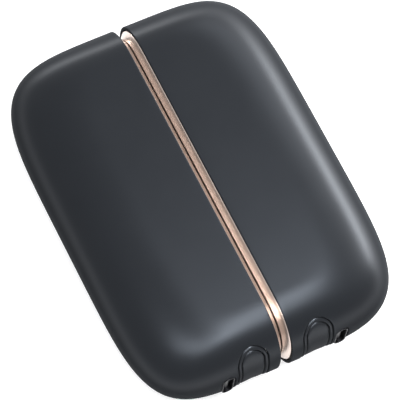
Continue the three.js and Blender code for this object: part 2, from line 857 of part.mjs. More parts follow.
// Key switch and the stem that the button pushes.
function tactSwitch() {
  const body = block(
    [buttonSetback - switchWidth / 2, switchFront, midHeight - switchWidth / 2],
    [
      buttonSetback + switchWidth / 2,
      switchFront + switchDepth,
      midHeight + switchWidth / 2,
    ],
  );
  const bore = rodAlongY(
    stemDiameter / 2 + fitGap,
    switchFront - overrun,
    switchFront + stemSeat + buttonTravel + fitGap,
    buttonSetback,
    midHeight,
    smallSteps,
  );
  return body.subtract(bore);
}

function switchStem() {
  return rodAlongY(
    stemDiameter / 2,
    stemFront,
    switchFront + stemSeat,
    buttonSetback,
    midHeight,
    smallSteps,
  );
}

// What of an upright slot's prism lies under the shell's surface, between two depths.
function slotUnderSurface(outline, sink, depth) {
  const prism = prismAlongY(outline, nearEnd - overrun, boardFront);
  return prism.intersect(pebble(sink).subtract(pebble(depth)));
}

// Bezel: a rim that follows the curve of the end, fixed in the shell's window.
function buttonBezel() {
  const ring = slotUnderSurface(windowOutline(0), bezelSink, bezelDepth);
  return ring.subtract(prismAlongY(windowOutline(-bezelRim), nearEnd - overrun, boardFront));
}

// Cap: follows the same curve, with two arms whose lugs catch behind the bezel, and a post to the switch.
function buttonCap() {
  let cap = slotUnderSurface(windowOutline(-bezelRim - capGroove), capSink, capSink + capWall);
  const armStart = nearEnd + capSink + capWall - sunk;
  const lugFront = nearEnd + bezelDepth + capLugGap;
  const lugBack = lugFront + capLugThickness;
  for (const side of [-1, 1]) {
    const place = (reach) => buttonSetback + side * reach;
    const outline = new THREE.Shape([
      new THREE.Vector2(place(capHalfWidth - capArmThickness), armStart),
      new THREE.Vector2(place(capHalfWidth), armStart),
      new THREE.Vector2(place(capHalfWidth), lugFront),
      new THREE.Vector2(place(capHalfWidth + capLug), lugFront),
      new THREE.Vector2(place(capHalfWidth), lugBack),
      new THREE.Vector2(place(capHalfWidth - capArmThickness), lugBack),
    ]);
    cap = cap.add(
      prismAlongZ(outline, midHeight - capArmHeight / 2, midHeight + capArmHeight / 2),
    );
  }
  return cap.add(
    rodAlongY(
      capPostDiameter / 2,
      armStart,
      stemFront - fitGap,
      buttonSetback,
      midHeight,
      smallSteps,
    ),
  );
}

// Round wire along a chosen route.
function wireAlong(points, diameter, steps) {
  const section = [];
  for (let side = 0; side < wireSides; side++) {
    const angle = (2 * Math.PI * side) / wireSides;
    section.push(
      new THREE.Vector2((diameter / 2) * Math.cos(angle), (diameter / 2) * Math.sin(angle)),
    );
  }
  const route = new THREE.CatmullRomCurve3(points, false, 'centripetal');
  return solidOf(
    new THREE.ExtrudeGeometry(new THREE.Shape(section), { steps, extrudePath: route }),
  );
}

// The cell's tabs, each in one piece with its wire to the connector.
const positiveTabBack = cellNearEnd - cellPoleHeight - fitGap;
const negativeTabFront = cellFarEnd + fitGap;
const contactPlace = boardBack + fitGap + connectorWall + fitGap;
const contactRise = midHeight + connectorRise;
const at = (x, y, z) => new THREE.Vector3(x, y, z);

const positiveRoute = [
  at(cellMiddle, positiveTabBack - tabThickness + sunk, midHeight),
  at(cellMiddle, nearStop - wireBend, midHeight),
  at(buttonSetback + contactPitch, contactPlace + connectorDepth + wireBend, contactRise - wireBend),
  at(buttonSetback + contactPitch / 2, contactPlace + connectorDepth, contactRise),
  at(buttonSetback + contactPitch / 2, contactPlace, contactRise),
];

// The long wire runs in the corner between the spine and the cell, and passes inside the lower boss.
const negativeRoute = [
  at(longWireSetback, negativeTabFront + tabThickness - sunk / 2, midHeight - wireRise),
  at(longWireSetback, saddlePlaces[1], midHeight - wireRise),
  at(longWireSetback, saddlePlaces[0], midHeight - wireRise),
  at(longWireSetback, cellNearEnd + wireBend, midHeight - wireRise),
  at(longWireSetback + wireDiameter / 2, nearStop + ribThickness / 2, midHeight - wireStopRise),
  at(longWireSetback + wireDiameter, nearStop - wireBend, midHeight - wireInnerRise),
  at(
    buttonSetback - contactPitch / 2,
    contactPlace + connectorDepth + wireBend / 2,
    contactRise - wireDiameter,
  ),
  at(buttonSetback - contactPitch / 2, contactPlace, contactRise),
];

function positiveLead() {
  const tab = block(
    [cellMiddle - tabWidth / 2, positiveTabBack - tabThickness, midHeight - tabWidth / 2],
    [cellMiddle + tabWidth / 2, positiveTabBack, midHeight + tabWidth / 2],
  );
  return tab.add(wireAlong(positiveRoute, wireDiameter, shortWireSteps));
}

function negativeLead() {
  const foot = longWireSetback + tabWidth / 2;
  const plate = block(
    [longWireSetback - wireDiameter / 2, negativeTabFront, midHeight - tabWidth / 2],
    [cellMiddle + tabWidth / 2, negativeTabFront + tabThickness, midHeight + tabWidth / 2],
  );
  const leg = block(
    [longWireSetback - wireDiameter / 2, negativeTabFront, midHeight - wireRise],
    [foot, negativeTabFront + tabThickness, midHeight],
  );
  return plate.add(leg).add(wireAlong(negativeRoute, wireDiameter, longWireSteps));
}

// Temperature sensor: a bead against the cell, on its own thin lead to the board.
function temperatureSensor() {
  const beadPlace = cellMiddle + cellRadius + fitGap + sensorBead / 2;
  const beadStart = cellNearEnd + sensorBeadLength;
  const bead = rodAlongY(
    sensorBead / 2,
    beadStart,
    beadStart + sensorBeadLength,
    beadPlace,
    midHeight,
    smallSteps,
  );
  const boardPlace = boardFar - sensorBead;
  const route = [
    at(beadPlace, beadStart + sunk, midHeight),
    at(beadPlace, cellNearEnd, midHeight),
    at((beadPlace + boardPlace) / 2, (cellNearEnd + boardBack) / 2, midHeight - sensorWire),
    at(boardPlace, boardBack + wireBend, midHeight),
    at(boardPlace, boardBack + fitGap, midHeight),
  ];
  return bead.add(wireAlong(route, sensorWire, shortWireSteps));
}

const pieces = [
  ['outer_shell', outerShell, 'shell'],
  ['trim_ring', trimRing, 'trim'],
  ['mating_cover', matingCover, 'cover'],
  ['magnet_near', () => magnet(magnetPlaces[0]), 'nickel'],
  ['magnet_far', () => magnet(magnetPlaces[1]), 'nickel'],
  ['cell_frame', cellFrame, 'frame'],
  ['frame_screw_1', () => frameScrew(screwPlaces[0]), 'steel'],
  ['frame_screw_2', () => frameScrew(screwPlaces[1]), 'steel'],
  ['frame_screw_3', () => frameScrew(screwPlaces[2]), 'steel'],
  ['battery_cell', batteryCell, 'wrap'],
  ['cell_end_pad', cellEndPad, 'foam'],
  ['upper_heater', () => heater(true), 'heater'],
  ['lower_heater', () => heater(false), 'heater'],
  ['upper_insulation', () => insulation(true), 'foam'],
  ['lower_insulation', () => insulation(false), 'foam'],
  ['upper_heater_ribbon', () => heaterRibbon(true), 'heater'],
  ['lower_heater_ribbon', () => heaterRibbon(false), 'heater'],
  ['control_board', controlBoard, 'board'],
  ['inductor', inductor, 'ferrite'],
  ['battery_connector', batteryConnector, 'socketWhite'],
  ['usb_c_shell', socketShell, 'darkSteel'],
  ['usb_c_insulator', socketInsulator, 'insulator'],
  ['tact_switch', tactSwitch, 'insulator'],
  ['switch_stem', switchStem, 'insulator'],
  ['button_cap', buttonCap, 'button'],
  ['button_bezel', buttonBezel, 'button'],
  ['positive_lead', positiveLead, 'redWire'],
  ['negative_lead', negativeLead, 'blackWire'],
  ['temperature_sensor', temperatureSensor, 'blackWire'],
];

// Both halves share each shape, and the left one is the mirror image of the right.
const warmer = new THREE.Group();
const halves = { left: new THREE.Group(), right: new THREE.Group() };
halves.left.scale.x = -1;
for (const [name, build, finish] of pieces) {
  const geometry = geometryOf(build());
  for (const side of ['left', 'right']) {
    const material = new THREE.MeshStandardMaterial(materials[finish]);
    const mesh = new THREE.Mesh(geometry, material);
    mesh.name = `${side}_${name}`;
    halves[side].add(mesh);
  }
}
warmer.add(halves.left, halves.right);

export default warmer;
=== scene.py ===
# %% [markdown]
# # A rechargeable hand warmer, dressed for its portrait
#
# The object is a pair of D-shaped handfuls that close along a straight seam. Their mechanical model is
# finished and packed, so this lesson only gives it its looks: smooth shells in place of faceted ones,
# fine edges, and a material for every surface. The cells are short, to be run and looked at in turn.

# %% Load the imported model
import json
import math
from collections import namedtuple

import bmesh
import bpy
from mathutils import Matrix, Vector


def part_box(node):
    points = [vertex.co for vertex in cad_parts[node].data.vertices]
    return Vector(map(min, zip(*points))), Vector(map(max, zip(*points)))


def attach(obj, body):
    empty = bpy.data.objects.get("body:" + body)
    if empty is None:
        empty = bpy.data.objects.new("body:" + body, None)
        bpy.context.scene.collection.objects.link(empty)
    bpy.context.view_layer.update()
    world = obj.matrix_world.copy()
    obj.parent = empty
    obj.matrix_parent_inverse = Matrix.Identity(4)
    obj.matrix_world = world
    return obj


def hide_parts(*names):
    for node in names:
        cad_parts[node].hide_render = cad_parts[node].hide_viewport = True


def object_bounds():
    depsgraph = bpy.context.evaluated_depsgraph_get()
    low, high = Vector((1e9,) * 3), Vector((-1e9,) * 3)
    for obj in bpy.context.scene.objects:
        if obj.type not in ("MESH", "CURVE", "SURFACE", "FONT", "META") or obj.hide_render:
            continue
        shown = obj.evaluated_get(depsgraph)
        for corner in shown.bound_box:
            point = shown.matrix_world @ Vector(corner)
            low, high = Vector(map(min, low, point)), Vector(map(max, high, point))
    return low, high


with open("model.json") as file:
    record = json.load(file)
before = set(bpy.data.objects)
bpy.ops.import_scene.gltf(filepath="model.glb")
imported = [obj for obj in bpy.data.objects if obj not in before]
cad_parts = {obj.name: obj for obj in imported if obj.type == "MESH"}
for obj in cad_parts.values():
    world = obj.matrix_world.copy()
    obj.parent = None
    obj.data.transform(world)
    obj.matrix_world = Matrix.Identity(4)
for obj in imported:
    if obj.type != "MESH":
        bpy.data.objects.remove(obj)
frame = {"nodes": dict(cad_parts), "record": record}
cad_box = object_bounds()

MM = 0.001
print("CAD box in mm:", [round(value / MM, 2) for corner in cad_box for value in corner])

# %% [markdown]
# ## The camera
#
# The photograph looks down on the pair from its button end, with a long lens and the camera rolled.
# Fitting the outline gave one turn about each axis, so the camera is built from those three angles.
# It has no shift: the small aim offsets place the picture instead, which other views then ignore.
# The Standard view transform shows each colour as it is written, so the finishes can be judged.

# %% Place the camera
BODY_CENTRE = (cad_box[0] + cad_box[1]) / 2
VIEW_SPIN = math.radians(28.0)
VIEW_LEAN = math.radians(-20.2)
VIEW_ROLL = math.radians(14.8)
CAMERA_DISTANCE = 709 * MM
AIM_ACROSS = 0.53 * MM
AIM_UP = -1.34 * MM
LENS = 242.5
SENSOR = 36.0

to_view = (
    Matrix.Rotation(VIEW_SPIN, 3, "Z")
    @ Matrix.Rotation(VIEW_LEAN, 3, "X")
    @ Matrix.Rotation(VIEW_ROLL, 3, "Y")
)
camera_axes = to_view.transposed()
camera_data = bpy.data.cameras.new("portrait_camera")
camera_data.lens = LENS
camera_data.sensor_width = SENSOR
camera_data.clip_start = 0.05
camera_data.clip_end = 10
camera = bpy.data.objects.new("portrait_camera", camera_data)
bpy.context.scene.collection.objects.link(camera)
camera.rotation_mode = "QUATERNION"
camera.rotation_quaternion = camera_axes.to_quaternion()
camera.location = BODY_CENTRE + camera_axes @ Vector((AIM_ACROSS, AIM_UP, CAMERA_DISTANCE))
bpy.context.scene.camera = camera
bpy.context.scene.view_settings.view_transform = "Standard"
print("camera at", [round(value, 3) for value in camera.location])

# %% [markdown]
# ## Small helpers for node trees
#
# A material or a Geometry Nodes tree is a list of nodes and links. Two helpers keep that list readable:
# one adds a node with its settings and inputs, and the other adds a Math node. An input is given as a
# value or as another node's socket, which is then linked to it.

# %% Node helpers
def add_node(tree, kind, inputs=(), **settings):
    """Adds a node, sets its properties, and fills its inputs with values or links."""
    node = tree.nodes.new(kind)
    for name, value in settings.items():
        setattr(node, name, value)
    for name, value in dict(inputs).items():
        if isinstance(value, bpy.types.NodeSocket):
            tree.links.new(value, node.inputs[name])
        else:
            node.inputs[name].default_value = value
    return node


def calc(tree, operation, *values):
    """Adds a Math node and gives its result."""
    return add_node(tree, "ShaderNodeMath", enumerate(values), operation=operation).outputs[0]


# %% [markdown]
# ## Plain studio light
#
# The world is an even pale dome. Camera, glossy and transmission rays see it as plain white, so that
# metal reflects the same background as the picture has, and only diffuse rays take the dimmer value.

# %% World
WHITE = (1, 1, 1, 1)
DOME_COLOUR = (0.90, 0.95, 1.0, 1.0)
DOME_STRENGTH = 0.40


def seen_mask(tree):
    """One for the rays that show the background, and nought for those that carry light."""
    rays = add_node(tree, "ShaderNodeLightPath")
    seen = calc(tree, "MAXIMUM", rays.outputs["Is Camera Ray"], rays.outputs["Is Glossy Ray"])
    return calc(tree, "MAXIMUM", seen, rays.outputs["Is Transmission Ray"])


world = bpy.data.worlds.new("studio_dome")
bpy.context.scene.world = world
world.use_nodes = True
tree = world.node_tree
tree.nodes.clear()
dome = add_node(tree, "ShaderNodeBackground", {"Color": DOME_COLOUR, "Strength": DOME_STRENGTH})
backdrop = add_node(tree, "ShaderNodeBackground", {"Color": WHITE, "Strength": 1.0})
blend = add_node(
    tree, "ShaderNodeMixShader", {0: seen_mask(tree), 1: dome.outputs[0], 2: backdrop.outputs[0]}
)
add_node(tree, "ShaderNodeOutputWorld", {"Surface": blend.outputs[0]})
print("world has", len(tree.nodes), "nodes")

# %% [markdown]
# A dark satin surface shows little of its own colour. What the eye reads is where it mirrors a lamp, so
# each soft box is placed for one highlight of the photograph. The near box draws the broad band across
# the button end, and the corner box the glow of the left corner there. The right box, low and strong,
# draws the long line down the right side, and the shoulder box softens that line's upper edge. The far
# box stands behind the far end and gives it a rim.

# %% Lamps
NEAR_AIM = (0.0, -0.045, 0.025)
CORNER_AIM = (-0.03, -0.05, 0.025)

# Name, place, aim, width, height and watts of each soft box, in metres.
SOFT_BOXES = [
    ("near_box", (0.055, -0.066, 0.31), NEAR_AIM, 0.20, 0.040, 1.15),
    ("corner_box", (-0.09, -0.11, 0.30), CORNER_AIM, 0.20, 0.10, 0.75),
    ("shoulder_box", (0.36, 0.31, 0.38), BODY_CENTRE, 0.30, 0.20, 0.8),
    ("right_box", (0.565, 0.15, 0.120), BODY_CENTRE, 0.30, 0.17, 8.0),
    ("far_box", (0.09, 0.64, 0.05), BODY_CENTRE, 0.42, 0.05, 4.2),
]


def soft_box(name, place, aim, width, height, watts):
    """Adds a rectangular area lamp that faces its aim."""
    data = bpy.data.lights.new(name, "AREA")
    data.shape = "RECTANGLE"
    data.size = width
    data.size_y = height
    data.energy = watts
    lamp = bpy.data.objects.new(name, data)
    bpy.context.scene.collection.objects.link(lamp)
    lamp.location = place
    lamp.rotation_mode = "QUATERNION"
    lamp.rotation_quaternion = (Vector(place) - Vector(aim)).to_track_quat("Z", "Y")


for box in SOFT_BOXES:
    soft_box(*box)

# %% [markdown]
# ## The floor
#
# A wide, even grey sheet, a hair below the object so that no two faces share a plane. Its diffuse part
# keeps the object's soft shadow. What the lamps leave short of white is added for camera, glossy and
# transmission rays alone, so that no more light is needed. The sheet hides the object from below.

# %% Floor
FLOOR_HALF = 3.0
FLOOR_COLOUR = (0.55, 0.55, 0.55, 1.0)
FLOOR_LIFT = 0.66
FLOOR_DROP = 0.1 * MM

floor_mesh = bpy.data.meshes.new("studio_floor")
corners = [(-1, -1), (1, -1), (1, 1), (-1, 1)]
floor_points = [(x * FLOOR_HALF, y * FLOOR_HALF, -FLOOR_DROP) for x, y in corners]
floor_mesh.from_pydata(floor_points, [], [(0, 1, 2, 3)])
floor = bpy.data.objects.new("studio_floor", floor_mesh)
bpy.context.scene.collection.objects.link(floor)
floor_material = bpy.data.materials.new("pale_floor")
floor_material.use_nodes = True
tree = floor_material.node_tree
tree.nodes.clear()
matt = add_node(tree, "ShaderNodeBsdfDiffuse", {"Color": FLOOR_COLOUR})
lift = calc(tree, "MULTIPLY", seen_mask(tree), FLOOR_LIFT)
lifted = add_node(tree, "ShaderNodeEmission", {"Color": WHITE, "Strength": lift})
both = add_node(tree, "ShaderNodeAddShader", {0: matt.outputs[0], 1: lifted.outputs[0]})
add_node(tree, "ShaderNodeOutputMaterial", {"Surface": both.outputs[0]})
floor_mesh.materials.append(floor_material)

# %% [markdown]
# ## Two effects that many finishes share
#
# Moulded plastic is never a flat tone. A fine grain from the mould breaks up its shine, and handling
# leaves broad, faint patches where it is a little smoother. Both are shader groups, built once: they
# put out only a height, a tone and a roughness that change over the surface.

# %% Shared shader groups
GRAIN_SIZE = 0.3
UNEVENNESS = 0.5
FINE_SHARE = 0.5
SLOW_SCALE = 90.0
PATCH_SIZE = 12.0


def shader_group(name, inputs, outputs):
    """An empty shader group with its sockets, all of them plain numbers."""
    group = bpy.data.node_groups.new(name, "ShaderNodeTree")
    for socket, value in inputs.items():
        made = group.interface.new_socket(name=socket, in_out="INPUT", socket_type="NodeSocketFloat")
        made.default_value = value
    for socket in outputs:
        group.interface.new_socket(name=socket, in_out="OUTPUT", socket_type="NodeSocketFloat")
    return group


def mould_grain_group():
    """A fine grain, and a tone that varies with it and with a slower unevenness."""
    sizes = {"Grain Size": GRAIN_SIZE, "Unevenness": UNEVENNESS}
    group = shader_group("Mould grain", sizes, ["Height", "Tone"])
    given = add_node(group, "NodeGroupInput")
    place = add_node(group, "ShaderNodeTexCoord").outputs["Object"]
    per_metre = calc(group, "DIVIDE", 1 / MM, given.outputs["Grain Size"])
    fine = add_node(
        group, "ShaderNodeTexNoise", {"Vector": place, "Scale": per_metre, "Detail": 2.0, "Roughness": 0.5}
    )
    slow = add_node(group, "ShaderNodeTexNoise", {"Vector": place, "Scale": SLOW_SCALE, "Detail": 3.0})
    lifted = calc(group, "MULTIPLY", slow.outputs["Fac"], given.outputs["Unevenness"])
    tone = calc(group, "MULTIPLY_ADD", fine.outputs["Fac"], FINE_SHARE, lifted)
    add_node(group, "NodeGroupOutput", {"Height": fine.outputs["Fac"], "Tone": tone})
    return group


def handling_group():
    """A roughness that wanders between its least and most in broad patches."""
    sizes = {"Least": 0.4, "Most": 0.5, "Patch Size": PATCH_SIZE}
    group = shader_group("Handling", sizes, ["Roughness"])
    given = add_node(group, "NodeGroupInput")
    place = add_node(group, "ShaderNodeTexCoord").outputs["Object"]
    per_metre = calc(group, "DIVIDE", 1 / MM, given.outputs["Patch Size"])
    patches = add_node(
        group, "ShaderNodeTexNoise", {"Vector": place, "Scale": per_metre, "Detail": 4.0, "Distortion": 0.6}
    )
    spread = calc(group, "SUBTRACT", given.outputs["Most"], given.outputs["Least"])
    rough = calc(group, "MULTIPLY_ADD", patches.outputs["Fac"], spread, given.outputs["Least"])
    add_node(group, "NodeGroupOutput", {"Roughness": rough})
    return group


GRAIN = mould_grain_group()
HANDLING = handling_group()
print("shared groups:", GRAIN.name, "and", HANDLING.name)

# %% [markdown]
# ## Finishes
#
# One function makes each finish from a dark and a light tone of its colour, its grain and its gloss.
# The tones mix by the shared grain, so the colour varies as real mouldings do, while everything that
# is the same all over the surface sits on the shader's own sockets. A soft-touch lacquer scatters
# most where it is seen edge on, so a Layer Weight node adds roughness there, which darkens the edges.

# %% A finish with grain and handling
EDGE_START = 0.22
EDGE_END = 0.60
BUMP_STRENGTH = 0.35

# A Mix node's colour sockets come after those that it keeps for numbers and vectors.
MIX_FIRST = 6
MIX_SECOND = 7
MIX_RESULT = 2


def turned_away(tree, most):
    """The roughness that a soft lacquer gains where its surface turns away from the eye."""
    facing = add_node(tree, "ShaderNodeLayerWeight", {"Blend": 0.5}).outputs["Facing"]
    ramp = add_node(
        tree,
        "ShaderNodeMapRange",
        {"Value": facing, "From Min": EDGE_START, "From Max": EDGE_END, "To Min": 0.0, "To Max": most},
        interpolation_type="SMOOTHSTEP",
    )
    return ramp.outputs["Result"]


def finish(
    name, dark, light, least, most, grain=0.3, depth=0.02,
    metal=0.0, specular=0.5, shine=(1.0, 1.0, 1.0), edge_loss=0.0,
):
    """A material from two tones, the least and most roughness, and the grain's size and depth in mm."""
    material = bpy.data.materials.new(name)
    material.use_nodes = True
    tree = material.node_tree
    tree.nodes.clear()
    skin = add_node(tree, "ShaderNodeGroup", {"Grain Size": grain}, node_tree=GRAIN)
    marks = add_node(tree, "ShaderNodeGroup", {"Least": least, "Most": most}, node_tree=HANDLING)
    tint = add_node(
        tree,
        "ShaderNodeMix",
        {0: skin.outputs["Tone"], MIX_FIRST: (*dark, 1), MIX_SECOND: (*light, 1)},
        data_type="RGBA",
    )
    bump = add_node(
        tree,
        "ShaderNodeBump",
        {"Height": skin.outputs["Height"], "Strength": BUMP_STRENGTH, "Distance": depth * MM},
    )
    rough = marks.outputs["Roughness"]
    if edge_loss:
        rough = calc(tree, "ADD", rough, turned_away(tree, edge_loss))
    shader = add_node(
        tree,
        "ShaderNodeBsdfPrincipled",
        {
            "Base Color": tint.outputs[MIX_RESULT],
            "Roughness": rough,
            "Normal": bump.outputs["Normal"],
            "Metallic": metal,
            "Specular IOR Level": specular,
            "Specular Tint": (*shine, 1),
        },
    )
    add_node(tree, "ShaderNodeOutputMaterial", {"Surface": shader.outputs[0]})
    return material


# %% [markdown]
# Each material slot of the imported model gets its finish. The shell and the button share a cool tint of
# their shine, because the photograph's highlights are bluer than the lacquer. The metals have the
# finest grain, and what hides inside differs enough that each part can be told from its neighbours.

# %% Every finish of the object
COOL_SHINE = (0.78, 0.87, 1.0)

FINISHES = {
    "shell": finish(
        "soft_touch_shell", (0.0050, 0.0055, 0.0066), (0.0086, 0.0094, 0.0110), 0.31, 0.36,
        specular=0.205, shine=COOL_SHINE, edge_loss=0.62,
    ),
    "trim": finish(
        "rose_gold", (0.56, 0.465, 0.415), (0.63, 0.535, 0.48), 0.29, 0.34, 0.12, 0.001, metal=1.0
    ),
    "button": finish(
        "satin_button", (0.0054, 0.0057, 0.0066), (0.0090, 0.0095, 0.0108), 0.27, 0.33,
        specular=0.26, shine=COOL_SHINE, edge_loss=0.62,
    ),
    "cover": finish("textured_cover", (0.012, 0.012, 0.013), (0.022, 0.022, 0.024), 0.55, 0.68, 0.5, 0.06),
    "frame": finish("natural_nylon", (0.58, 0.56, 0.50), (0.74, 0.72, 0.66), 0.48, 0.6, 0.4),
    "steel": finish(
        "nickel_plate", (0.48, 0.49, 0.50), (0.62, 0.63, 0.64), 0.22, 0.34, 0.1, 0.004, metal=1.0
    ),
    "dark_steel": finish(
        "black_nickel", (0.014, 0.014, 0.016), (0.028, 0.028, 0.032), 0.44, 0.54, 0.1, 0.004, metal=1.0
    ),
    "magnet": finish(
        "magnet_plate", (0.54, 0.52, 0.48), (0.66, 0.64, 0.59), 0.22, 0.34, 0.1, 0.004, metal=1.0
    ),
    "cell_wrap": finish("cell_wrap", (0.045, 0.24, 0.22), (0.07, 0.33, 0.31), 0.28, 0.36, 0.6),
    "foam": finish("closed_cell_foam", (0.035, 0.035, 0.038), (0.07, 0.07, 0.075), 0.85, 0.95, 0.8, 0.12),
    "heater": finish("amber_film", (0.40, 0.15, 0.04), (0.58, 0.25, 0.08), 0.24, 0.34, 0.5),
    "board": finish("solder_mask", (0.012, 0.10, 0.035), (0.03, 0.16, 0.06), 0.28, 0.38, 0.3),
    "ferrite": finish("pressed_ferrite", (0.035, 0.035, 0.04), (0.065, 0.065, 0.07), 0.6, 0.75, 0.2, 0.05),
    "insulator": finish("black_insulator", (0.008, 0.008, 0.009), (0.014, 0.014, 0.016), 0.4, 0.5),
    "connector": finish("white_nylon", (0.66, 0.63, 0.56), (0.80, 0.78, 0.71), 0.45, 0.55, 0.4),
    "red_wire": finish("red_silicone", (0.36, 0.02, 0.015), (0.52, 0.04, 0.03), 0.45, 0.55),
    "black_wire": finish("black_silicone", (0.01, 0.01, 0.011), (0.02, 0.02, 0.022), 0.45, 0.55),
}
slot_of_node = {part["node"]: part["material_slot"] for part in frame["record"]["subparts"]}
for name, node in frame["nodes"].items():
    node.data.materials.clear()
    node.data.materials.append(FINISHES[slot_of_node[name]])
print("finishes:", len(FINISHES), "for", len(frame["nodes"]), "packed nodes")

# %% [markdown]
# ## The rule of the shape
#
# Seen from above, the pair is a superellipse, a rounded rectangle with no straight-to-arc joints. Its
# edge rolls over in a second superellipse, down to a flat land on each broad face. Every visible piece
# follows that one rule, at its own inset from the surface, so the rule is written once. The outer sizes
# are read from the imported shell's box, and the rolls and powers are those that it was built with.

# %% Sizes of the body
SHELL_LOW, SHELL_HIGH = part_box("right_outer_shell")
HALF_WIDTH = SHELL_HIGH.x
HALF_LENGTH = SHELL_HIGH.y
HALF_HEIGHT = SHELL_HIGH.z / 2
SIDE_ROLL = 19.8 * MM
END_ROLL = 13.5 * MM
PLAN_POWER = 5.05
ROLL_POWER = 2.2


def edge_of(inset, lean):
    """Half length and height of the outline at a lean of the rolled edge."""
    drawn_in = 1 - max(math.cos(lean), 0.0) ** (2 / ROLL_POWER)
    rise = math.copysign(abs(math.sin(lean)) ** (2 / ROLL_POWER), lean)
    along = HALF_LENGTH - inset - (END_ROLL - inset) * drawn_in
    return along, HALF_HEIGHT + (HALF_HEIGHT - inset) * rise


def end_depth(x, z, inset):
    """Where the near end's surface lies along the seam, at a place across it and a height."""
    level = min(abs(z - HALF_HEIGHT) / (HALF_HEIGHT - inset), 1.0)
    drawn_in = 1 - (1 - level ** ROLL_POWER) ** (1 / ROLL_POWER)
    across = HALF_WIDTH - inset - (SIDE_ROLL - inset) * drawn_in
    along = HALF_LENGTH - inset - (END_ROLL - inset) * drawn_in
    return -along * (1 - min(x / across, 1.0) ** PLAN_POWER) ** (1 / PLAN_POWER)


print("half sizes in mm:", [round(value / MM, 3) for value in (HALF_WIDTH, HALF_LENGTH, HALF_HEIGHT)])

# %% [markdown]
# ## The shell's skin, as a Geometry Nodes tree
#
# A shape that follows a rule suits Geometry Nodes. The tree starts from a flat grid. One direction of
# the grid runs round the outline, from the seam at the far end to the seam at the near end. The other
# climbs from the lower land, over the rolled edge, to the upper land. Math nodes then move each point
# to its place. The same tree makes the outer and the inner skin, with another inset. The path is counted
# on the square round the outline: one unit out along the far end, two down the side, and one back.

# %% Skin tree
PATH_HALF = 2.0
PATH_STEPS = 168
ROLL_STEPS = 48
LAND_SHARE = 1 / 3
LEVEL_STEPS = int(ROLL_STEPS * (1 + LAND_SHARE))


def power_of(tree, value, exponent):
    """A power that keeps the sign of its base."""
    size = calc(tree, "POWER", calc(tree, "ABSOLUTE", value), exponent)
    return calc(tree, "MULTIPLY", size, calc(tree, "SIGN", value))


